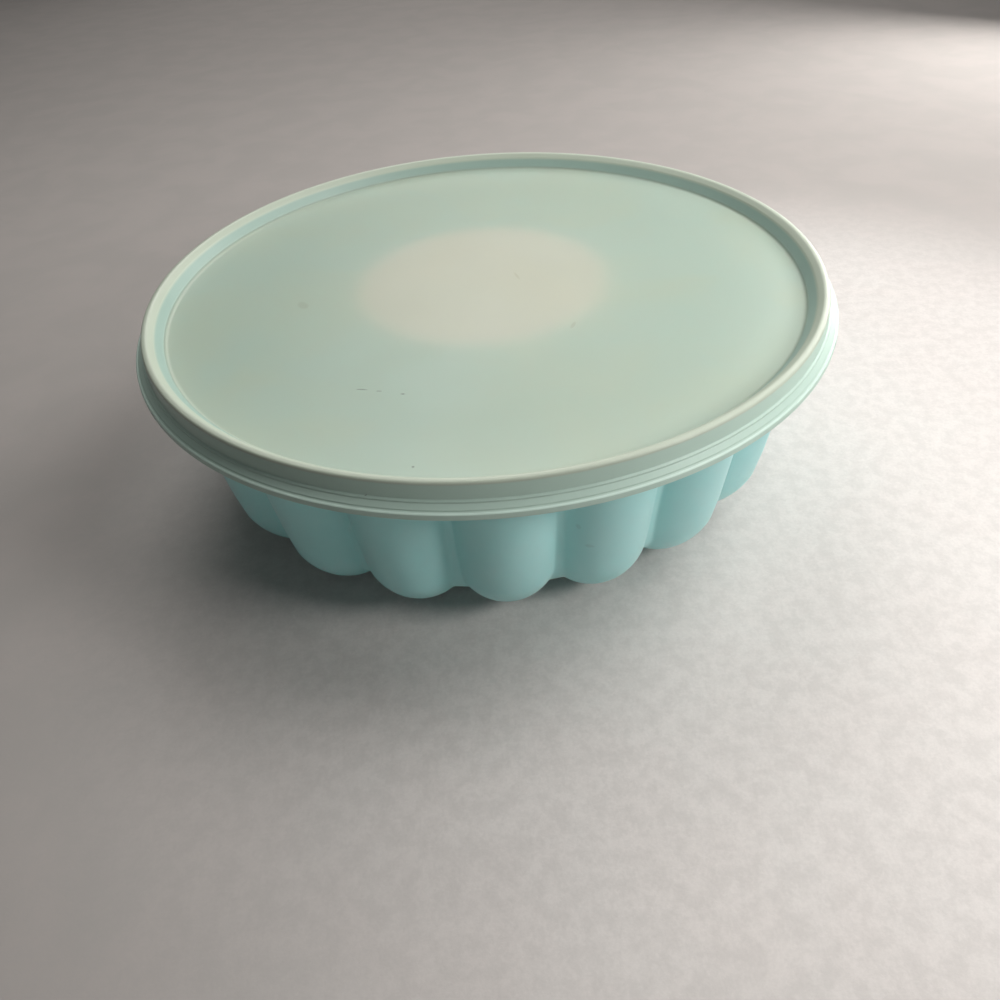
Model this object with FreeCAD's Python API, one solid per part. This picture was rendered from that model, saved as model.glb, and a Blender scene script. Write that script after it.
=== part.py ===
import FreeCAD, Part
import math
import os

# Ring mould for jelly, standing on its fluted crown, with a press-on lid over
# its rim and a small round seal on its centre tube.
# Millimetres. +Z is up, the origin is on the mould's axis at the level it stands on.
# "Crown" is the closed end of the mould, which is down here.

# Mould: driving sizes
flute_count = 20
flute_phase_deg = 0.4        # turn of the front flute from -Y towards +X
wall_radius = 108.1          # outer wall between two flutes, at the shelf
wall_draft_deg = 6.0         # the wall leans inwards towards the crown
crown_height = 5.5           # underside of the crown above the table
crown_corner_radius = 18.6   # rounding from outer wall to crown, between flutes
flute_depth = 8.1            # how far a flute stands proud of the wall
nose_radius = 31.0           # rounding of a flute's crest from wall to crown
standing_flat = 0.2          # plastic taken off each nose at its lowest, to stand on
land_width = 2.6             # bare strip of wall between neighbouring flutes
land_flare = 2.5             # what the strip gains on each side round the nose
mould_wall = 1.7             # plastic thickness
shelf_height = 65.6          # underside of the shelf that joins the flutes to the rim band
shelf_overhang = 3.16        # the rim band stands out this far past the flutes
rim_band_height = 8.4        # from the shelf's underside to the rim's top
tube_top_radius = 45.4       # outside of the centre tube at its open top
tube_set_down = 7.0          # the tube's top below the rim's top
tube_draft_deg = 4.0         # the tube widens towards the crown
tube_corner_radius = 7.0     # rounding from crown to tube, on the underside
tube_foot_bevel = 2.5        # sloping foot of the tube inside the mould
crown_margin = 1.5           # plain strip of crown between the flutes' ends and the tube
nose_steps = 8               # ruled spans that close the nose
crown_steps = 4              # ruled spans along the crown

# Lid: driving sizes
lid_wall = 1.3
ridge_rise = 3.4             # the raised ridge stands this far above the rim's top
ridge_top_width = 1.8        # from the ridge's crest out to its outer edge
ridge_fall = 0.3             # the ridge's outer edge below its crest
ridge_round = 1.1
ridge_inner_drop = 1.6       # the ridge's inner edge below its crest
recess_run = 3.2             # the recess's wall runs in by this much down to the flat panel
recess_wall = 1.1            # plastic across the recess's wall, measured level
skirt_flare = 0.55           # the skirt widens by this much from the channel down to its foot
skirt_lean = 0.7             # the same on the skirt's outside
ledge_width = 3.4            # sloping ledge from the skirt out to the flange's edge
ledge_rise = 2.3
flange_set_down = 4.4        # the flange's edge below the rim's top
lip_drop = 1.7               # short lip below the flange's edge
lip_flare = 0.2

# Centre seal: driving sizes
seal_wall = 1.3
seal_skirt_depth = 5.5       # how far the seal's skirt reaches down over the tube
seal_bevel = 0.6             # taken off the seal's top edge

# Clearances
lid_clearance = 0.35         # between the lid's channel and the rim's sides
seal_clearance = 0.3         # between the seal's skirt and the tube
seal_to_lid_gap = 1.9        # between the seal's top and the lid's panel
overrun = 1.0                # how far a cutting solid runs past what it cuts

# Worked out from the sizes above
wall_draft = math.radians(wall_draft_deg)
tube_draft = math.radians(tube_draft_deg)
pitch = 2 * math.pi / flute_count
rim_height = shelf_height + rim_band_height
rim_radius = wall_radius + flute_depth / math.cos(wall_draft) + shelf_overhang
rim_inner_radius = rim_radius - mould_wall
tube_top_height = rim_height - tube_set_down
seal_top_height = tube_top_height + seal_wall
panel_underside = seal_top_height + seal_to_lid_gap
up = FreeCAD.Vector(0, 0, 1)
origin = FreeCAD.Vector(0, 0, 0)


def point(r, z, turn=0.0):
    return FreeCAD.Vector(r * math.cos(turn), r * math.sin(turn), z)


def rounded_wire(corners):
    """Closed outline in the XZ plane; each corner is (r, z, rounding radius)."""
    count = len(corners)
    starts, ends, middles = [], [], []
    for i, (r, z, radius) in enumerate(corners):
        here = point(r, z)
        back = point(*corners[i - 1][:2]) - here
        ahead = point(*corners[(i + 1) % count][:2]) - here
        back.normalize()
        ahead.normalize()
        if radius == 0:
            starts.append(here)
            ends.append(here)
            middles.append(None)
            continue
        half = back.getAngle(ahead) / 2
        reach = radius / math.tan(half)
        inward = back + ahead
        inward.normalize()
        centre = here + inward * (radius / math.sin(half))
        starts.append(here + back * reach)
        ends.append(here + ahead * reach)
        middles.append(centre - inward * radius)
    edges = []
    for i in range(count):
        if middles[i] is not None:
            edges.append(Part.Arc(starts[i], middles[i], ends[i]).toShape())
        j = (i + 1) % count
        if (ends[i] - starts[j]).Length > 1e-6:
            edges.append(Part.LineSegment(ends[i], starts[j]).toShape())
    return Part.Wire(edges)


def outwards(solid):
    """The solid with its faces turned outwards."""
    if solid.Volume < 0:
        solid.reverse()
    return solid


def lathe(corners):
    """Solid of revolution about the mould's axis."""
    return outwards(Part.Face(rounded_wire(corners)).revolve(origin, up, 360))


def wall_radius_at(z, outset):
    """Radius of the outer wall between flutes at a height, moved out by outset."""
    return wall_radius - (shelf_height - z) * math.tan(wall_draft) + outset / math.cos(wall_draft)


def tube_radius_at(z, outset):
    """Radius of the tube's cavity side at a height, moved out by outset."""
    return tube_top_radius + (tube_top_height - z) * math.tan(tube_draft) + outset / math.cos(tube_draft)


# Centres of the two roundings in a flute's own plane: of the plain wall's corner and
# of the flute's crest, which is set so that the crest is lowest where the crown starts
corner_z = crown_height + crown_corner_radius
corner_r = wall_radius_at(corner_z, -crown_corner_radius)
nose_r = wall_radius_at(nose_radius, flute_depth - nose_radius)
nose_z = math.sqrt(nose_radius ** 2 - (corner_r - nose_r) ** 2) - standing_flat

# Where the flutes fade out on the crown
flute_end_radius = tube_radius_at(crown_height, tube_corner_radius) + crown_margin


def crest_from(r, z, nr, nz):
    """Where the ray from a plain point along its normal (nr, nz) meets the nose's arc."""
    dr, dz = r - nose_r, z - nose_z
    along = dr * nr + dz * nz
    reach = -along + math.sqrt(along ** 2 - dr ** 2 - dz ** 2 + nose_radius ** 2)
    return r + nr * reach, z + nz * reach


def station(plain, plain_normal, crest, crest_normal, slope):
    """One place down a flute: the plain and the crest point as (r, z) with their normals,
    and half of the flute's width. slope is 0 on the wall and 1 on the crown, where the
    strip between flutes is wider."""
    half = plain[0] * math.sin(pitch / 2) - land_width / 2 - land_flare * slope
    return plain, plain_normal, crest, crest_normal, half


def wall_stations():
    """From the shelf straight down to where the crest starts to curve."""
    normal = (math.cos(wall_draft), -math.sin(wall_draft))
    top = shelf_height + mould_wall / 2
    spring = nose_z - nose_radius * math.sin(wall_draft)
    return [
        station((wall_radius_at(z, 0), z), normal, (wall_radius_at(z, flute_depth), z), normal, 0)
        for z in (top, spring)
    ]


def nose_stations():
    """Round the corner from wall to crown."""
    rows = []
    for step in range(nose_steps + 1):
        fall = wall_draft + (math.pi / 2 - wall_draft) * step / nose_steps
        nr, nz = math.cos(fall), -math.sin(fall)
        plain = corner_r + crown_corner_radius * nr, corner_z + crown_corner_radius * nz
        crest = crest_from(*plain, nr, nz)
        crest_normal = (crest[0] - nose_r) / nose_radius, (crest[1] - nose_z) / nose_radius
        rows.append(station(plain, (nr, nz), crest, crest_normal, math.sin(fall)))
    return rows


def crown_stations():
    """Along the crown, where the flutes fade out towards the tube."""
    rows = []
    down = (0, -1)
    for step in range(1, crown_steps + 1):
        share = step / crown_steps
        r = corner_r + (flute_end_radius - corner_r) * share
        depth = (crown_height + standing_flat) * (1 - share ** 2)
        rows.append(station((r, crown_height), down, (r, crown_height - depth), down, 1))
    return rows


def scalloped_wire(row, inset):
    """Closed outline round the mould at one station: an arc over each flute and a straight
    strip between two. inset moves it into the plastic along the surface's normals."""
    (r, z), (nr, nz), (crest_r, crest_z), (crest_nr, crest_nz), half = row
    depth = math.hypot(crest_r - r, crest_z - z)
    r, z = r - inset * nr, z - inset * nz
    if depth > 1e-3:
        crest_r, crest_z = crest_r - inset * crest_nr, crest_z - inset * crest_nz
        bow = (half ** 2 + depth ** 2) / (2 * depth)
        half = math.sqrt((bow - inset) ** 2 - (bow - depth - inset) ** 2)
    else:
        crest_r, crest_z = r, z
    reach = math.asin(half / r)
    edges = []
    for i in range(flute_count):
        turn = math.radians(flute_phase_deg) - math.pi / 2 + pitch * i
        start, end = point(r, z, turn - reach), point(r, z, turn + reach)
        edges.append(Part.Arc(start, point(crest_r, crest_z, turn), end).toShape())
        edges.append(Part.LineSegment(end, point(r, z, turn + pitch - reach)).toShape())
    return Part.Wire(edges)


def fluted_block(inset, lift):
    """Solid inside the fluted surface, moved inwards by inset; lift raises its open top."""
    rows = wall_stations() + nose_stations() + crown_stations()
    wires = [scalloped_wire(row, inset) for row in rows]
    wires[0].translate(up * lift)
    return outwards(Part.makeLoft(wires, True, True))


def mould():
    """Fluted outer wall, crown, open centre tube, shelf and rim in one moulded piece."""
    floor = crown_height + mould_wall
    over_rim = rim_height + overrun
    block = fluted_block(0, 0).fuse(lathe([
        (0, shelf_height, 0),
        (rim_radius, shelf_height, 0),
        (rim_radius, rim_height, 0),
        (0, rim_height, 0),
    ]))
    core = lathe([
        (0, 0, 0),
        (flute_end_radius, 0, 0),
        (flute_end_radius, floor, 0),
        (tube_radius_at(floor, tube_foot_bevel), floor, 0),
        (tube_radius_at(floor + tube_foot_bevel, 0), floor + tube_foot_bevel, 0),
        (tube_top_radius, tube_top_height, 0),
        (0, tube_top_height, 0),
    ])
    cavity = fluted_block(mould_wall, mould_wall).fuse(lathe([
        (0, shelf_height + mould_wall, 0),
        (rim_inner_radius, shelf_height + mould_wall, 0),
        (rim_inner_radius, over_rim, 0),
        (0, over_rim, 0),
    ])).cut(core)
    bore = lathe([
        (0, -overrun, 0),
        (flute_end_radius, -overrun, 0),
        (flute_end_radius, crown_height, 0),
        (tube_radius_at(crown_height, -mould_wall), crown_height, tube_corner_radius),
        (tube_radius_at(over_rim, -mould_wall), over_rim, 0),
        (0, over_rim, 0),
    ])
    below_table = Part.makeCylinder(rim_radius, rim_radius, point(0, -rim_radius))
    return block.cut(cavity).cut(bore).cut(below_table)


def lid():
    """Press-on lid: flat sunken panel, raised ridge with a channel that sits on the rim,
    skirt, sloping ledge and a thin flange with a short lip."""
    channel_inner = rim_inner_radius - lid_clearance
    channel_outer = rim_radius + lid_clearance
    ridge_height = rim_height + ridge_rise
    panel_radius = channel_inner - recess_run
    skirt_foot_inner = channel_outer + skirt_flare
    skirt_foot_outer = skirt_foot_inner + lid_wall
    skirt_top = skirt_foot_outer - skirt_lean
    flange_radius = skirt_foot_outer + ledge_width
    flange_height = rim_height - flange_set_down
    ledge_top = flange_height + ledge_rise
    lip_radius = flange_radius + lip_flare
    lip_foot = flange_height - lip_drop
    return lathe([
        (0, panel_underside + lid_wall, 0),
        (panel_radius, panel_underside + lid_wall, 0),
        (channel_inner, ridge_height - ridge_inner_drop, 0),
        (skirt_top - ridge_top_width, ridge_height, ridge_round),
        (skirt_top, ridge_height - ridge_fall, ridge_round),
        (skirt_foot_outer, ledge_top, 0),
        (flange_radius, flange_height, 0),
        (lip_radius, lip_foot, 0),
        (lip_radius - lid_wall, lip_foot, 0),
        (flange_radius - lid_wall, flange_height - lid_wall / 2, 0),
        (skirt_foot_inner, ledge_top - lid_wall, 0),
        (channel_outer, rim_height, 0),
        (channel_inner, rim_height, 0),
        (panel_radius + recess_wall, panel_underside, 0),
        (0, panel_underside, 0),
    ])


def centre_seal():
    """Round cap that lies on the tube's open top, with a skirt down over its outside."""
    skirt_foot = tube_top_height - seal_skirt_depth
    inner = tube_radius_at(skirt_foot, seal_clearance)
    outer = inner + seal_wall
    return lathe([
        (0, tube_top_height, 0),
        (inner, tube_top_height, 0),
        (inner, skirt_foot, 0),
        (outer, skirt_foot, 0),
        (outer, seal_top_height - seal_bevel, 0),
        (outer - seal_bevel, seal_top_height, 0),
        (0, seal_top_height, 0),
    ])


os.makedirs("parts", exist_ok=True)
for name, shape in (("mould", mould()), ("lid", lid()), ("centre_seal", centre_seal())):
    shape.exportStep("parts/" + name + ".step")
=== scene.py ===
import bpy
import math
import numpy as np
from mathutils import Matrix, Vector


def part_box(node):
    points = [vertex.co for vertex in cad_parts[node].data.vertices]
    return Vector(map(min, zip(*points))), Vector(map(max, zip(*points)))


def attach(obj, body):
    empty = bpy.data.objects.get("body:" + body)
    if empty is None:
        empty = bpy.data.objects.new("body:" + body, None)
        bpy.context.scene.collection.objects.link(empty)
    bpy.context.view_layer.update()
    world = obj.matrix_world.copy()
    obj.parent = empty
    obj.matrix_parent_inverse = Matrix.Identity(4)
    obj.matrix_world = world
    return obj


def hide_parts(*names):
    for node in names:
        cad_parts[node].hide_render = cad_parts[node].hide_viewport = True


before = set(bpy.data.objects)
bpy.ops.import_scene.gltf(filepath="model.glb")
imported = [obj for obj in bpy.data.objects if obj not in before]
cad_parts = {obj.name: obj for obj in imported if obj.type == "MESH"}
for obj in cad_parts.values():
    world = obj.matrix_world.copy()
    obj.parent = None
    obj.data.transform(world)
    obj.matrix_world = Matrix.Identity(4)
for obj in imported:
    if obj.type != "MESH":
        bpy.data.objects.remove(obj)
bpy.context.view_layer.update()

MM = 0.001
TAU = 2 * math.pi

# Sizes read from the frame, in metres
mould_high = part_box("mould")[1]
lid_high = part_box("lid")[1]
seal_low, seal_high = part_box("centre_seal")
rim_height = mould_high.z
rim_radius = mould_high.x
lid_radius = lid_high.x
lid_top = lid_high.z
seal_radius = seal_high.x

# Flutes: the same form as the solid mould, in metres
FLUTES = 20
FLUTE_TURN = math.radians(0.4)
WALL_RADIUS = 108.1 * MM
WALL_DRAFT = math.radians(6.0)
CROWN_HEIGHT = 5.5 * MM
CORNER_ROUND = 18.6 * MM
FLUTE_DEPTH = 8.1 * MM
NOSE_ROUND = 31.0 * MM
STANDING_FLAT = 0.2 * MM
LAND_WIDTH = 2.6 * MM
LAND_FLARE = 2.5 * MM
MOULD_WALL = 1.7 * MM
RIM_BAND = 8.4 * MM
TUBE_RADIUS = 45.4 * MM
TUBE_DROP = 7.0 * MM
TUBE_DRAFT = math.radians(4.0)
TUBE_CORNER = 7.0 * MM
TUBE_FOOT = 2.5 * MM
CROWN_MARGIN = 1.5 * MM
EDGE_ROUND = 0.35 * MM
CREASE_PASSES = 3

# Where the plain outlines of rim and tube start under the fluted rows, and where they are cut
SHELF_OVERLAP = 9 * MM
SHELF_KEPT = 0.6 * MM
CROWN_OVERLAP = 5 * MM
CROWN_TRIM = 0.2 * MM

# A flute shallower than the first counts as none, and a length under the second as zero
PLAIN_BELOW = 1e-5
LEAST = 1e-7

shelf_height = rim_height - RIM_BAND
tube_top = rim_height - TUBE_DROP
pitch = TAU / FLUTES


def wall_radius_at(z, outset):
    return WALL_RADIUS - (shelf_height - z) * math.tan(WALL_DRAFT) + outset / math.cos(WALL_DRAFT)


def tube_radius_at(z, outset):
    return TUBE_RADIUS + (tube_top - z) * math.tan(TUBE_DRAFT) + outset / math.cos(TUBE_DRAFT)


corner_z = CROWN_HEIGHT + CORNER_ROUND
corner_r = wall_radius_at(corner_z, -CORNER_ROUND)
nose_r = wall_radius_at(NOSE_ROUND, FLUTE_DEPTH - NOSE_ROUND)
nose_z = math.sqrt(NOSE_ROUND ** 2 - (corner_r - nose_r) ** 2) - STANDING_FLAT
flute_end = tube_radius_at(CROWN_HEIGHT, TUBE_CORNER) + CROWN_MARGIN


# Meshes

def outline(corners, step=5 * MM, arc_steps=6):
    """Points (r, z) along a closed outline of corners (r, z, round), each corner rounded
    by an arc and each straight stretch cut into equal steps."""
    here = np.array([c[:2] for c in corners], float)
    rounds = np.array([c[2] for c in corners], float)
    back = np.roll(here, 1, 0) - here
    ahead = np.roll(here, -1, 0) - here
    back /= np.linalg.norm(back, axis=1)[:, None]
    ahead /= np.linalg.norm(ahead, axis=1)[:, None]
    half = np.arccos(np.clip((back * ahead).sum(1), -1, 1)) / 2
    reach = rounds / np.tan(half)
    starts = here + back * reach[:, None]
    ends = here + ahead * reach[:, None]
    pieces = []
    for i in range(len(corners)):
        j = (i + 1) % len(corners)
        if rounds[i] > 0:
            inward = back[i] + ahead[i]
            centre = here[i] + inward / np.linalg.norm(inward) * rounds[i] / math.sin(half[i])
            a, b = starts[i] - centre, ends[i] - centre
            t = np.linspace(0, 1, arc_steps)[:, None]
            between = math.pi - 2 * half[i]
            arc = np.sin((1 - t) * between) * a + np.sin(t * between) * b
            pieces.append(centre + arc / math.sin(between))
        else:
            pieces.append(here[i:i + 1])
        count = max(1, int(np.linalg.norm(starts[j] - ends[i]) / step))
        inner = np.linspace(0, 1, count + 1)[1:-1, None]
        pieces.append(ends[i] + (starts[j] - ends[i]) * inner)
    return np.vstack(pieces)


def add_mesh(name, points, quads, fans=()):
    """An object from vertex positions, quads and triangle fans, smooth, riding on nothing yet."""
    faces = [tuple(q) for q in quads.tolist()]
    for fan in fans:
        faces += [tuple(t) for t in fan.tolist()]
    mesh = bpy.data.meshes.new(name)
    mesh.from_pydata(points.tolist(), [], faces)
    mesh.polygons.foreach_set("use_smooth", [True] * len(mesh.polygons))
    mesh.update()
    piece = bpy.data.objects.new(name, mesh)
    bpy.context.scene.collection.objects.link(piece)
    return piece


def grid_quads(rows, columns, wrap_rows):
    """Quads of a grid that closes on itself across its columns, and along its rows if asked."""
    r = np.arange(rows if wrap_rows else rows - 1)[:, None]
    c = np.arange(columns)[None, :]
    here, below = r * columns, (r + 1) % rows * columns
    c2 = (c + 1) % columns
    return np.stack([here + c, here + c2, below + c2, below + c], -1).reshape(-1, 4)


def circles(rz, ring):
    """Rows of points, one for each (r, z): the unit circle's points ring times r, at height z."""
    flat = rz[:, None, :1] * ring
    return np.concatenate([flat, np.broadcast_to(rz[:, None, 1:], flat.shape[:2] + (1,))], -1)


def lathe(name, corners, columns):
    """Solid of revolution: each outline point (r, z) goes to (r cos a, r sin a, z) at equal
    angles a. The outline starts and ends on the axis, where it closes to one point."""
    rz = outline(corners)
    on_axis = rz[:, 0] < LEAST
    ends = rz[on_axis]
    rz = rz[~on_axis]
    a = np.arange(columns) * TAU / columns
    ring = np.stack([np.cos(a), np.sin(a)], -1)
    poles = [[0, 0, ends[0, 1]], [0, 0, ends[-1, 1]]]
    points = np.vstack([circles(rz, ring).reshape(-1, 3), poles])
    first, last = len(points) - 2, len(points) - 1
    c = np.arange(columns)
    c2 = (c + 1) % columns
    base = (len(rz) - 1) * columns
    fan_a = np.stack([np.full(columns, first), c2, c], -1)
    fan_b = np.stack([np.full(columns, last), base + c, base + c2], -1)
    return add_mesh(name, points, grid_quads(len(rz), columns, False), (fan_a, fan_b))


def stations(wall_steps, nose_steps, crown_steps):
    """Arrays of the plain point, its normal, the crest point, its normal and half a flute's
    width down one flute: down the wall, round the nose, along the crown to the tube."""
    top, spring = shelf_height, nose_z - NOSE_ROUND * math.sin(WALL_DRAFT)
    z = np.linspace(top, spring, wall_steps, endpoint=False)
    n = np.array([math.cos(WALL_DRAFT), -math.sin(WALL_DRAFT)])
    wall_plain = np.stack([wall_radius_at(z, 0), z], -1)
    wall_crest = np.stack([wall_radius_at(z, FLUTE_DEPTH), z], -1)
    wall_n = np.tile(n, (wall_steps, 1))
    fall = np.linspace(WALL_DRAFT, math.pi / 2, nose_steps)
    nose_n = np.stack([np.cos(fall), -np.sin(fall)], -1)
    nose_plain = np.array([corner_r, corner_z]) + CORNER_ROUND * nose_n
    d = nose_plain - np.array([nose_r, nose_z])
    along = (d * nose_n).sum(1)
    reach = -along + np.sqrt(along ** 2 - (d ** 2).sum(1) + NOSE_ROUND ** 2)
    nose_crest = nose_plain + nose_n * reach[:, None]
    nose_crest_n = (nose_crest - np.array([nose_r, nose_z])) / NOSE_ROUND
    share = np.linspace(0, 1, crown_steps + 1)[1:]
    r = corner_r + (flute_end - corner_r) * share
    depth = (CROWN_HEIGHT + STANDING_FLAT) * (1 - share ** 2)
    crown_plain = np.stack([r, np.full(crown_steps, CROWN_HEIGHT)], -1)
    crown_crest = crown_plain - np.stack([0 * r, depth], -1)
    down = np.tile([0.0, -1.0], (crown_steps, 1))
    plain = np.vstack([wall_plain, nose_plain, crown_plain])
    crest = np.vstack([wall_crest, nose_crest, crown_crest])
    slope = np.concatenate([np.zeros(wall_steps), np.sin(fall), np.ones(crown_steps)])
    half = plain[:, 0] * math.sin(pitch / 2) - LAND_WIDTH / 2 - LAND_FLARE * slope
    return plain, np.vstack([wall_n, nose_n, down]), crest, np.vstack([wall_n, nose_crest_n, down]), half


def fluted_rows(rows, inset, arc_steps, land_steps):
    """Rings of points round the mould, one per station. Over each flute the ring follows the
    circular arc through the strip's edge, the crest and the next strip's edge, and between
    two flutes it runs straight. inset moves it into the plastic along the normals."""
    plain, plain_n, crest, crest_n, half = rows
    depth = np.linalg.norm(crest - plain, axis=1)
    bow = (half ** 2 + depth ** 2) / (2 * np.maximum(depth, LEAST))
    plain = plain - inset * plain_n
    crest = np.where(depth[:, None] > PLAIN_BELOW, crest - inset * crest_n, plain)
    left = np.maximum((bow - inset) ** 2 - (bow - depth - inset) ** 2, 0)
    half = np.where(depth > PLAIN_BELOW, np.sqrt(left), half)
    reach = np.arcsin(half / plain[:, 0])
    chord_r = plain[:, 0] * np.cos(reach)
    out = crest - np.stack([chord_r, plain[:, 1]], -1)
    rise = np.maximum(np.linalg.norm(out, axis=1), LEAST)
    out = out / rise[:, None]
    bow = (half ** 2 + rise ** 2) / (2 * rise)
    spread = np.arctan2(half, bow - rise)
    t = -np.cos(np.linspace(0, math.pi, arc_steps))
    swing = spread[:, None] * t
    radial = crest[:, 0][:, None] - bow[:, None] * out[:, :1] * (1 - np.cos(swing))
    height = crest[:, 1][:, None] - bow[:, None] * out[:, 1:] * (1 - np.cos(swing))
    side = bow[:, None] * np.sin(swing)
    u = np.linspace(0, 1, land_steps + 2)[1:-1]
    land_chord = plain[:, 0][:, None] * np.cos(pitch / 2 - reach)[:, None] * np.ones(land_steps)
    land_side = plain[:, 0][:, None] * np.sin(pitch / 2 - reach)[:, None] * (2 * u - 1)
    land_height = plain[:, 1][:, None] * np.ones(land_steps)
    flute = (radial, side, height, 0)
    land = (land_chord, land_side, land_height, 0.5)
    rings = []
    for i in range(FLUTES):
        for r_part, s_part, z_part, turn in (flute, land):
            a = FLUTE_TURN - math.pi / 2 + pitch * (i + turn)
            x = r_part * math.cos(a) - s_part * math.sin(a)
            y = r_part * math.sin(a) + s_part * math.cos(a)
            rings.append(np.stack([x, y, z_part], -1))
    ring = np.concatenate(rings, 1)
    for _ in range(CREASE_PASSES):
        ring = (np.roll(ring, 1, 1) + 2 * ring + np.roll(ring, -1, 1)) / 4
    return ring


def make_mould():
    """One closed skin. Its rows run down the fluted outside, round the noses, up the tube's
    bore, over the tube's top, down the tube, up the fluted inside and over the rim, back to
    the start. Plain rows are circles r(cos a, sin a) at the fluted rows' own angles."""
    arc_steps, land_steps = 27, 4
    outer = fluted_rows(stations(10, 26, 14), 0, arc_steps, land_steps)
    inner = fluted_rows(stations(6, 16, 8), MOULD_WALL, arc_steps, land_steps)[::-1]
    outer[..., 2] = np.maximum(outer[..., 2], 0)
    inside = rim_radius - MOULD_WALL
    floor = CROWN_HEIGHT + MOULD_WALL
    shelf_top = shelf_height + MOULD_WALL
    bore_top = tube_radius_at(tube_top, -MOULD_WALL)
    tube = outline([
        (flute_end + CROWN_OVERLAP, CROWN_HEIGHT, 0),
        (tube_radius_at(CROWN_HEIGHT, -MOULD_WALL), CROWN_HEIGHT, TUBE_CORNER),
        (bore_top, tube_top, EDGE_ROUND),
        (TUBE_RADIUS, tube_top, EDGE_ROUND),
        (tube_radius_at(floor + TUBE_FOOT, 0), floor + TUBE_FOOT, EDGE_ROUND),
        (tube_radius_at(floor, TUBE_FOOT), floor, EDGE_ROUND),
        (flute_end + CROWN_OVERLAP, floor, 0),
    ], step=6 * MM)
    tube = tube[tube[:, 0] < flute_end - CROWN_TRIM]
    rim = outline([
        (inside - SHELF_OVERLAP, shelf_top, 0),
        (inside, shelf_top, EDGE_ROUND),
        (inside, rim_height, EDGE_ROUND),
        (rim_radius, rim_height, EDGE_ROUND),
        (rim_radius, shelf_height, EDGE_ROUND),
        (inside - SHELF_OVERLAP, shelf_height, 0),
    ], step=3 * MM, arc_steps=5)
    rim = rim[rim[:, 0] > inside - SHELF_KEPT]
    angles = np.arctan2(outer[0, :, 1], outer[0, :, 0])
    ring = np.stack([np.cos(angles), np.sin(angles)], -1)
    points = np.concatenate([outer, circles(tube, ring), inner, circles(rim, ring)])
    rows, columns = points.shape[:2]
    return add_mesh("mould_skin", points.reshape(-1, 3), grid_quads(rows, columns, True))


# Lid: sizes in metres, all kept inside the solid lid's outline
LID_WALL = 1.3 * MM
SEAL_SKIRT = 1.3 * MM
CHANNEL_GAP = 0.35 * MM
PANEL_MARGIN = 3.2 * MM
panel_top = lid_top - 5.83 * MM


def make_lid():
    """Solid of revolution of the lid's section. Its ledge has two low steps, and its edge a
    fine bead, which the solid lid leaves out."""
    channel_in = rim_radius - MOULD_WALL - CHANNEL_GAP
    channel_out = rim_radius + CHANNEL_GAP
    edge = lid_radius - 0.2 * MM
    return lathe("lid_skin", [
        (0, panel_top, 0),
        (channel_in - PANEL_MARGIN, panel_top, 1.5 * MM),
        (channel_in, lid_top - 1.53 * MM, 1.2 * MM),
        (edge - 5.9 * MM, lid_top + 0.07 * MM, 1.4 * MM),
        (edge - 4.1 * MM, lid_top - 0.23 * MM, 0.9 * MM),
        (edge - 3.45 * MM, rim_height - 1.9 * MM, 0.3 * MM),
        (edge - 2.75 * MM, rim_height - 2.2 * MM, 0.12 * MM),
        (edge - 2.65 * MM, rim_height - 2.65 * MM, 0.12 * MM),
        (edge - 1.2 * MM, rim_height - 3.6 * MM, 0.15 * MM),
        (edge - 1.05 * MM, rim_height - 3.95 * MM, 0.12 * MM),
        (edge - 0.5 * MM, rim_height - 4.25 * MM, 0.1 * MM),
        (edge - 0.42 * MM, rim_height - 4.1 * MM, 0.08 * MM),
        (edge, rim_height - 4.4 * MM, 0.18 * MM),
        (lid_radius, rim_height - 6.1 * MM, 0.3 * MM),
        (lid_radius - LID_WALL, rim_height - 6.1 * MM, 0.3 * MM),
        (edge - LID_WALL, rim_height - 5.05 * MM, 0.2 * MM),
        (channel_out + 0.55 * MM, rim_height - 3.4 * MM, 0.3 * MM),
        (channel_out, rim_height, 0.25 * MM),
        (channel_in, rim_height, 0.25 * MM),
        (channel_in - 2.1 * MM, panel_top - LID_WALL, 0.5 * MM),
        (0, panel_top - LID_WALL, 0),
    ], columns=480)


def make_seal():
    """Solid of revolution of the seal's section: a plate with a skirt."""
    inner = seal_radius - SEAL_SKIRT
    return lathe("seal_skin", [
        (0, seal_high.z, 0),
        (seal_radius, seal_high.z, 0.6 * MM),
        (seal_radius, seal_low.z, 0.3 * MM),
        (inner, seal_low.z, 0.3 * MM),
        (inner, tube_top, 0.2 * MM),
        (0, tube_top, 0),
    ], columns=240)


# Materials

def new_material(name):
    material = bpy.data.materials.new(name)
    material.use_nodes = True
    tree = material.node_tree
    tree.nodes.clear()
    shader = tree.nodes.new("ShaderNodeBsdfPrincipled")
    output = tree.nodes.new("ShaderNodeOutputMaterial")
    tree.links.new(shader.outputs[0], output.inputs["Surface"])
    coords = tree.nodes.new("ShaderNodeTexCoord").outputs["Object"]
    return material, tree, shader, coords


def noise(tree, coords, scale, detail=3.0, roughness=0.5, distortion=0.0):
    node = tree.nodes.new("ShaderNodeTexNoise")
    node.inputs["Scale"].default_value = scale
    node.inputs["Detail"].default_value = detail
    node.inputs["Roughness"].default_value = roughness
    node.inputs["Distortion"].default_value = distortion
    tree.links.new(coords, node.inputs["Vector"])
    return node.outputs["Fac"]


def remap(tree, value, low, high, to_low=0.0, to_high=1.0):
    """value carried smoothly from the range low to high onto to_low to to_high."""
    node = tree.nodes.new("ShaderNodeMapRange")
    node.interpolation_type = "SMOOTHSTEP"
    node.inputs["From Min"].default_value = low
    node.inputs["From Max"].default_value = high
    node.inputs["To Min"].default_value = to_low
    node.inputs["To Max"].default_value = to_high
    tree.links.new(value, node.inputs["Value"])
    return node.outputs["Result"]


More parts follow.
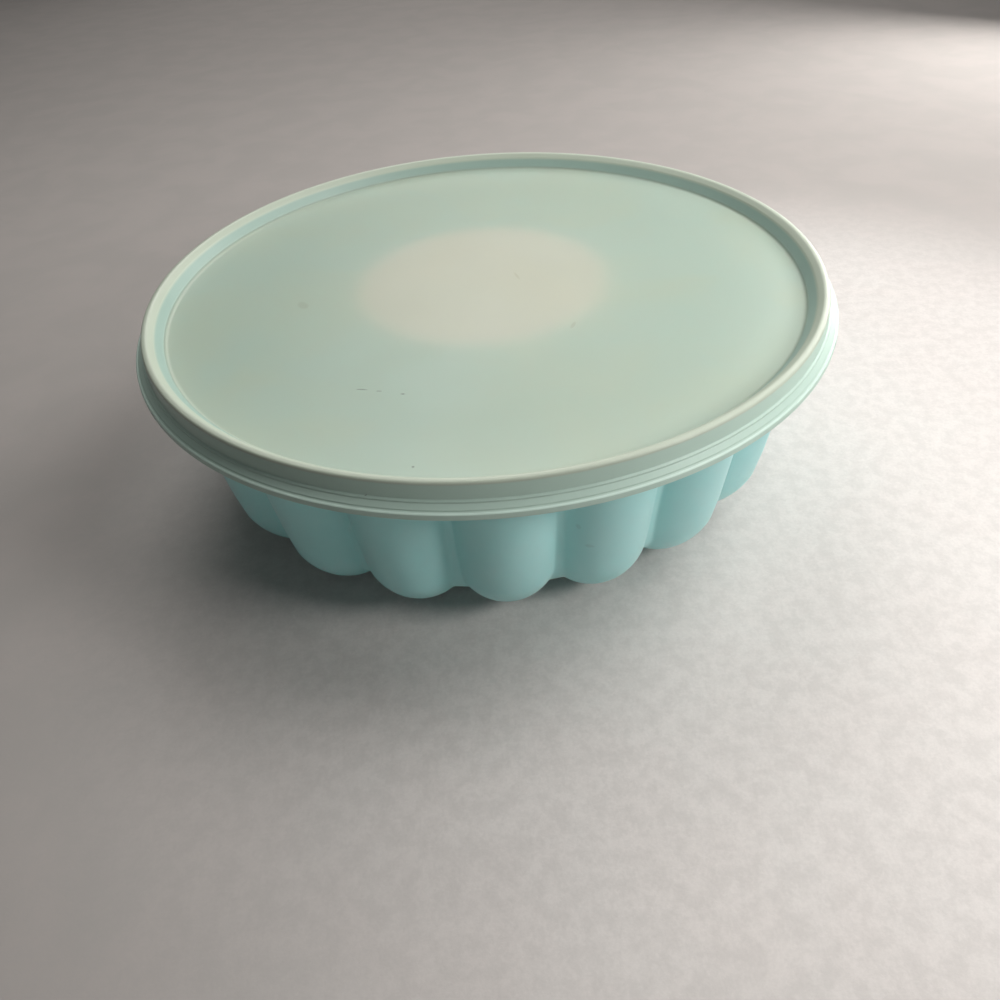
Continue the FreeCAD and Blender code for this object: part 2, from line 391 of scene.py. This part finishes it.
def math_node(tree, operation, a, b=0.0):
    node = tree.nodes.new("ShaderNodeMath")
    node.operation = operation
    for i, v in enumerate((a, b)):
        if isinstance(v, (int, float)):
            node.inputs[i].default_value = v
        else:
            tree.links.new(v, node.inputs[i])
    return node.outputs[0]


def times(tree, a, b):
    return math_node(tree, "MULTIPLY", a, b)


def blend(tree, factor, a, b):
    """Colour a shifted towards colour b by factor; a and b are colours or sockets."""
    node = tree.nodes.new("ShaderNodeMix")
    node.data_type = "RGBA"
    for socket, v in ((node.inputs["Factor"], factor), (node.inputs["A"], a), (node.inputs["B"], b)):
        if isinstance(v, tuple):
            socket.default_value = (*v, 1)
        else:
            tree.links.new(v, socket)
    return node.outputs["Result"]


def bump(tree, height, strength, distance, below=None):
    """Normal of a relief of this height, laid over the relief below."""
    node = tree.nodes.new("ShaderNodeBump")
    node.inputs["Strength"].default_value = strength
    node.inputs["Distance"].default_value = distance
    tree.links.new(height, node.inputs["Height"])
    if below is not None:
        tree.links.new(below, node.inputs["Normal"])
    return node.outputs["Normal"]


# Colours, linear
LID_MINT = (0.65, 0.76, 0.655)
LID_MINT_COOL = (0.635, 0.76, 0.665)
LID_MINT_WARM = (0.66, 0.755, 0.635)
# Painted shade: the ridge is painted darker and greener than the panel, standing in for its shade and
# the aqua rim's light through it
LID_RIDGE_PAINTED_SHADE = (0.32, 0.455, 0.405)
# Painted highlight: the ridge's crest is painted paler where light catches it
LID_CREST_PAINTED_HIGHLIGHT = (0.47, 0.545, 0.455)
# Painted highlight: the bead at the lid's edge is painted paler where light catches it
LID_EDGE_PAINTED_HIGHLIGHT = (0.60, 0.77, 0.70)
# Painted light: the panel is painted paler over the seal, standing in for the white seal's light through
# the lid
LID_OVER_SEAL_PAINTED_GLOW = (0.68, 0.72, 0.65)
# Painted shade: the ledge and skirt are painted darker and greener, standing in for their shade and the
# aqua rim's light through them
LID_OVER_RIM_PAINTED_SHADE = (0.47, 0.63, 0.56)
MOULD_AQUA = (0.42, 0.75, 0.755)
MOULD_AQUA_PALE = (0.45, 0.77, 0.775)
SEAL_WHITE = (0.95, 0.80, 0.70)
SEAL_YELLOWED = (0.93, 0.79, 0.64)
SCUFF_GREY = (0.10, 0.12, 0.10)
FAINT_OLIVE = (0.42, 0.44, 0.33)
SPECK_DARK = (0.14, 0.24, 0.25)
# Painted light: the paper is painted bright in a pool to the right of the object and darker away from
# it, standing in for light and shade on the floor
PAPER = (0.70, 0.68, 0.665)
PAPER_PAINTED_SHADE = (0.42, 0.40, 0.385)
PAPER_PINK = (0.68, 0.60, 0.58)
PAPER_MOTTLE = (0.42, 0.41, 0.40)

# Where tints and painted light change: from and to, in metres from the axis or from the middle of the
# painted pool of light on the paper
SEAL_FADES = (39 * MM, 53 * MM)
RIDGE_STARTS = (114.2 * MM, 115.2 * MM)
RECESS_ENDS = (114.8 * MM, 114.9 * MM)
RIM_STARTS = (119.5 * MM, 120.2 * MM)
SHEET_DULLS = (85 * MM, 114.5 * MM)
PAPER_LIGHT_POOL_PLACE = (113 * MM, -33 * MM)
PAPER_LIGHT_POOL_FADES = (157 * MM, 310 * MM)

# The part of the mould turned to the front, along Y, in metres
FRONT_ENDS = (-90 * MM, -85 * MM)

# Share of the light that the lid's panel lets through, in its middle and at its edge
LID_LETS_THROUGH = 0.45
EDGE_LETS_THROUGH = 0.41

# Marks: how much their edges fray, and where they fade, in half widths squared
MARK_FRAY = 1.6
MARK_EDGE = (0.9, 1.9)

# Marks seen on the lid and a flute: place, half length and half width, turn in degrees
SCUFFS = (
    ((-39.8 * MM, -66.8 * MM), 2.2 * MM, 0.3 * MM, -12),
    ((-34.4 * MM, -68.4 * MM), 1.0 * MM, 0.25 * MM, -10),
    ((-26.9 * MM, -71.0 * MM), 1.0 * MM, 0.35 * MM, -8),
    ((-22.8 * MM, -106.0 * MM), 0.5 * MM, 0.5 * MM, 20),
    ((-34.7 * MM, -116.6 * MM), 0.4 * MM, 0.15 * MM, 0),
)
FAINT_MARKS = (
    ((13.0 * MM, 0.5 * MM), 0.7 * MM, 4.0 * MM, 15),
    ((29.1 * MM, -38.4 * MM), 0.8 * MM, 2.6 * MM, -25),
    ((-66.0 * MM, -9.0 * MM), 2.0 * MM, 3.5 * MM, 30),
)
FLUTE_SPECKS = (
    ((22.2 * MM, 44.5 * MM), 0.8 * MM, 1.3 * MM, 15),
    ((25.6 * MM, 36.5 * MM), 1.6 * MM, 0.9 * MM, 0),
)


def axes(tree, coords):
    """Sockets of x, y and z."""
    split = tree.nodes.new("ShaderNodeSeparateXYZ")
    tree.links.new(coords, split.inputs[0])
    return split.outputs


def length(tree, x, y):
    """Length of the flat vector (x, y)."""
    x2 = math_node(tree, "POWER", x, 2.0)
    y2 = math_node(tree, "POWER", y, 2.0)
    return math_node(tree, "SQRT", math_node(tree, "ADD", x2, y2))


def mix_shaders(tree, factor, first, second):
    node = tree.nodes.new("ShaderNodeMixShader")
    tree.links.new(factor, node.inputs[0])
    tree.links.new(first, node.inputs[1])
    tree.links.new(second, node.inputs[2])
    return node.outputs[0]


def marks(tree, across, along, spots, ragged):
    """1 inside any of the soft-edged oval spots of the plane (across, along), else 0.
    ragged is a noise socket that frays their edges."""
    total = 0.0
    for (x, y), half_length, half_width, degrees in spots:
        turn = math.radians(degrees)
        cos, sin = math.cos(turn), math.sin(turn)
        dx = math_node(tree, "SUBTRACT", across, x)
        dy = math_node(tree, "SUBTRACT", along, y)
        parts = []
        for c, d, half in ((cos, sin, half_length), (-sin, cos, half_width)):
            swung = math_node(tree, "ADD", times(tree, dx, c), times(tree, dy, d))
            parts.append(math_node(tree, "POWER", math_node(tree, "DIVIDE", swung, half), 2.0))
        reach = math_node(tree, "ADD", parts[0], parts[1])
        frayed = math_node(tree, "ADD", reach, times(tree, ragged, MARK_FRAY))
        total = math_node(tree, "MAXIMUM", remap(tree, frayed, *MARK_EDGE, 1.0, 0.0), total)
    return total


def lid_material():
    """Thin mint plastic that lets some light through. The panel's upper face does all the
    scattering, and its underside lets light pass, so that the two act as one thin sheet.
    The panel is painted paler above the seal, as painted light from the white seal below it.
    The ridge, the ledge and the skirt lie over the aqua rim and are painted darker and greener,
    as painted shade tinted by the rim's aqua light, with a painted highlight on the ridge's crest
    and another on the bead at the edge."""
    material, tree, shader, coords = new_material("lid_plastic")
    x, y, height = axes(tree, coords)
    radius = length(tree, x, y)
    cloudy = noise(tree, coords, 16, 3, 0.5, 0.5)
    patchy = noise(tree, coords, 38, 4, 0.6, 0.3)
    fine = noise(tree, coords, 420, 3, 0.6)
    ragged = noise(tree, coords, 1500, 2, 0.7)
    tint = blend(tree, remap(tree, cloudy, 0.38, 0.62), LID_MINT_COOL, LID_MINT_WARM)
    tint = blend(tree, remap(tree, patchy, 0.35, 0.7, 0.0, 0.5), tint, LID_MINT)
    # Painted light: paler over the seal, for the white seal's light coming up through the panel
    painted_seal_glow = remap(tree, radius, *SEAL_FADES, 0.7, 0.0)
    tint = blend(tree, painted_seal_glow, tint, LID_OVER_SEAL_PAINTED_GLOW)
    # Painted shade on the ridge and its inner wall
    outside = remap(tree, radius, *RIDGE_STARTS)
    # Painted highlight along the top of the ridge
    crest = remap(tree, height, lid_top - 2.6 * MM, lid_top - 1.6 * MM)
    ridge_shade_and_highlight = blend(tree, crest, LID_RIDGE_PAINTED_SHADE, LID_CREST_PAINTED_HIGHLIGHT)
    tint = blend(tree, outside, tint, ridge_shade_and_highlight)
    # Painted shade on the ledge and skirt, below the ridge and past the rim
    below_ridge = remap(tree, height, lid_top - 1.3 * MM, lid_top - 0.6 * MM, 1.0, 0.0)
    past_ridge = remap(tree, radius, *RIM_STARTS)
    tint = blend(tree, times(tree, below_ridge, past_ridge), tint, LID_OVER_RIM_PAINTED_SHADE)
    # Painted highlight along the bead at the lid's edge
    bead_in = remap(tree, radius, lid_radius - 1.1 * MM, lid_radius - 0.8 * MM)
    bead_out = remap(tree, radius, lid_radius - 0.4 * MM, lid_radius - 0.2 * MM, 1.0, 0.0)
    tint = blend(tree, times(tree, bead_in, bead_out), tint, LID_EDGE_PAINTED_HIGHLIGHT)
    faint = marks(tree, x, y, FAINT_MARKS, patchy)
    tint = blend(tree, times(tree, faint, 0.25), tint, FAINT_OLIVE)
    scuffed = marks(tree, x, y, SCUFFS, ragged)
    tint = blend(tree, times(tree, scuffed, 0.55), tint, SCUFF_GREY)
    tree.links.new(tint, shader.inputs["Base Color"])
    tree.links.new(remap(tree, patchy, 0.3, 0.7, 0.36, 0.46), shader.inputs["Roughness"])
    shader.inputs["Specular IOR Level"].default_value = 0.45
    scuffing = noise(tree, coords, 90, 3, 0.7)
    relief = bump(tree, cloudy, 0.3, 0.4 * MM)
    relief = bump(tree, scuffing, 0.1, 0.05 * MM, relief)
    relief = bump(tree, fine, 0.12, 0.03 * MM, relief)
    tree.links.new(relief, shader.inputs["Normal"])
    through = tree.nodes.new("ShaderNodeBsdfTranslucent")
    tree.links.new(tint, through.inputs["Color"])
    clear = tree.nodes.new("ShaderNodeBsdfTransparent")
    inside_recess = remap(tree, radius, *RECESS_ENDS, 1.0, 0.0)
    share = remap(tree, radius, *SHEET_DULLS, LID_LETS_THROUGH, EDGE_LETS_THROUGH)
    share = times(tree, inside_recess, share)
    sheet = mix_shaders(tree, share, shader.outputs[0], through.outputs[0])
    under_panel = remap(tree, height, panel_top - 0.9 * MM, panel_top - 0.8 * MM, 1.0, 0.0)
    under = times(tree, under_panel, inside_recess)
    output = tree.nodes["Material Output"]
    tree.links.new(mix_shaders(tree, under, sheet, clear.outputs[0]), output.inputs["Surface"])
    return material


def mould_material():
    """Aqua plastic that glows a little where light enters it, with two specks on one flute."""
    material, tree, shader, coords = new_material("mould_plastic")
    x, y, height = axes(tree, coords)
    cloudy = noise(tree, coords, 22, 3, 0.5, 0.4)
    fine = noise(tree, coords, 380, 3, 0.6)
    ragged = noise(tree, coords, 900, 2, 0.7)
    tint = blend(tree, remap(tree, cloudy, 0.38, 0.62), MOULD_AQUA, MOULD_AQUA_PALE)
    front = remap(tree, y, *FRONT_ENDS, 1.0, 0.0)
    specks = times(tree, marks(tree, x, height, FLUTE_SPECKS, ragged), front)
    tint = blend(tree, times(tree, specks, 0.16), tint, SPECK_DARK)
    tree.links.new(tint, shader.inputs["Base Color"])
    shader.inputs["Roughness"].default_value = 0.42
    shader.inputs["Specular IOR Level"].default_value = 0.4
    shader.inputs["Subsurface Weight"].default_value = 0.5
    shader.inputs["Subsurface Radius"].default_value = (0.6, 1.0, 1.0)
    shader.inputs["Subsurface Scale"].default_value = 3 * MM
    relief = bump(tree, cloudy, 0.2, 0.3 * MM)
    relief = bump(tree, fine, 0.1, 0.03 * MM, relief)
    tree.links.new(relief, shader.inputs["Normal"])
    return material


def seal_material():
    """White plastic, yellowed in clouds."""
    material, tree, shader, coords = new_material("seal_plastic")
    cloudy = noise(tree, coords, 35, 4, 0.6, 0.5)
    tint = blend(tree, remap(tree, cloudy, 0.35, 0.65), SEAL_WHITE, SEAL_YELLOWED)
    tree.links.new(tint, shader.inputs["Base Color"])
    shader.inputs["Roughness"].default_value = 0.45
    fine = noise(tree, coords, 300)
    tree.links.new(bump(tree, fine, 0.1, 0.03 * MM), shader.inputs["Normal"])
    return material


def paper_material():
    """Pale seamless paper with a painted pool of light to the right of the object and painted
    shade away from it, with faint pink clouds, a soft mottle and a fine tooth."""
    material, tree, shader, coords = new_material("paper")
    x, y, _ = axes(tree, coords)
    # Painted pool of light, with painted shade further from its middle
    pool_x, pool_y = PAPER_LIGHT_POOL_PLACE
    across = math_node(tree, "SUBTRACT", x, pool_x)
    along = math_node(tree, "SUBTRACT", y, pool_y)
    away = length(tree, across, along)
    tone = blend(tree, remap(tree, away, *PAPER_LIGHT_POOL_FADES), PAPER, PAPER_PAINTED_SHADE)
    clouds = noise(tree, coords, 26, 3, 0.5, 0.4)
    tone = blend(tree, remap(tree, clouds, 0.35, 0.65, 0.0, 0.10), tone, PAPER_PINK)
    mottle = noise(tree, coords, 170, 5, 0.7)
    tone = blend(tree, remap(tree, mottle, 0.36, 0.64, 0.0, 0.25), tone, PAPER_MOTTLE)
    grain = noise(tree, coords, 900, 2, 0.7)
    tone = blend(tree, remap(tree, grain, 0.35, 0.65, 0.0, 0.12), tone, PAPER_MOTTLE)
    tree.links.new(tone, shader.inputs["Base Color"])
    shader.inputs["Roughness"].default_value = 0.9
    shader.inputs["Specular IOR Level"].default_value = 0.2
    relief = bump(tree, mottle, 0.12, 0.4 * MM)
    relief = bump(tree, grain, 0.15, 0.2 * MM, relief)
    tree.links.new(relief, shader.inputs["Normal"])
    return material


# The set: floor, lights and camera. Distances are in metres and powers in watts.
FLOOR_HALF = 6.0
LIGHT_COLOUR = (1.0, 0.958, 0.925)
LIGHT_AIM_HEIGHT = 35 * MM
WORLD_COLOUR = (0.93, 1.0, 1.0)
WORLD_STRENGTH = 0.04

# Name, distance, height angle, turn, size and power
LIGHTS = (
    ("window_back", 1.8, 40, 90, 1.0, 9.1),
    ("window_low", 0.8, 20, 40, 0.5, 3.3),
    ("window_high", 0.8, 65, 120, 0.5, 1.25),
    ("lamp_side", 0.5, 55, 0, 0.3, 1.15),
    ("lamp_front", 0.5, 30, -35, 0.16, 0.98),
    ("fill_front", 1.2, 30, -90, 0.8, 0.55),
)

# Camera: angles in radians, lens in millimetres for a frame 36 mm wide
CAMERA_PLACE = (-0.0001, -0.26223, 0.20105)
CAMERA_PITCH = 0.7454
CAMERA_ROLL = -0.0805
CAMERA_LENS = 27.04
CAMERA_FRAME = 36
CAMERA_NEAREST = 10 * MM


def add_floor():
    mesh = bpy.data.meshes.new("floor")
    s = FLOOR_HALF
    mesh.from_pydata([(-s, -s, 0), (s, -s, 0), (s, s, 0), (-s, s, 0)], [], [(0, 1, 2, 3)])
    floor = bpy.data.objects.new("floor", mesh)
    bpy.context.scene.collection.objects.link(floor)
    mesh.materials.append(paper_material())


def add_area(name, distance, height_angle, turn, size, power):
    """A round soft light aimed at the object. height_angle is above the floor, and turn goes
    from +X towards +Y, both in degrees."""
    light = bpy.data.lights.new(name, "AREA")
    light.shape = "DISK"
    light.size = size
    light.energy = power
    light.color = LIGHT_COLOUR
    lamp = bpy.data.objects.new(name, light)
    rise = math.radians(height_angle)
    swing = math.radians(turn)
    reach = distance * math.cos(rise)
    away = Vector((reach * math.cos(swing), reach * math.sin(swing), distance * math.sin(rise)))
    lamp.location = Vector((0, 0, LIGHT_AIM_HEIGHT)) + away
    lamp.rotation_euler = away.to_track_quat("Z", "Y").to_euler()
    lamp.visible_camera = False
    bpy.context.scene.collection.objects.link(lamp)


def add_world():
    """Even faint light from all round."""
    world = bpy.data.worlds.new("world")
    world.use_nodes = True
    background = world.node_tree.nodes["Background"]
    background.inputs["Color"].default_value = (*WORLD_COLOUR, 1)
    background.inputs["Strength"].default_value = WORLD_STRENGTH
    bpy.context.scene.world = world


def add_camera():
    """Looks along +Y and down by CAMERA_PITCH, then rolls about its own line of sight."""
    data = bpy.data.cameras.new("camera")
    data.sensor_width = CAMERA_FRAME
    data.lens = CAMERA_LENS
    data.clip_start = CAMERA_NEAREST
    camera = bpy.data.objects.new("camera", data)
    ahead = Vector((0, math.cos(CAMERA_PITCH), -math.sin(CAMERA_PITCH)))
    level_up = Vector((0, math.sin(CAMERA_PITCH), math.cos(CAMERA_PITCH)))
    level_right = Vector((1, 0, 0))
    right = level_right * math.cos(CAMERA_ROLL) + level_up * math.sin(CAMERA_ROLL)
    up = level_up * math.cos(CAMERA_ROLL) - level_right * math.sin(CAMERA_ROLL)
    turn = Matrix((right, up, -ahead)).transposed()
    camera.matrix_world = Matrix.Translation(CAMERA_PLACE) @ turn.to_4x4()
    bpy.context.scene.collection.objects.link(camera)
    bpy.context.scene.camera = camera


for make, body, material in (
    (make_mould, "mould", mould_material),
    (make_lid, "lid", lid_material),
    (make_seal, "centre_seal", seal_material),
):
    piece = make()
    piece.data.materials.append(material())
    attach(piece, body)
    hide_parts(body)

add_floor()
for light in LIGHTS:
    add_area(*light)
add_world()
add_camera()
bpy.context.scene.view_settings.view_transform = "Standard"
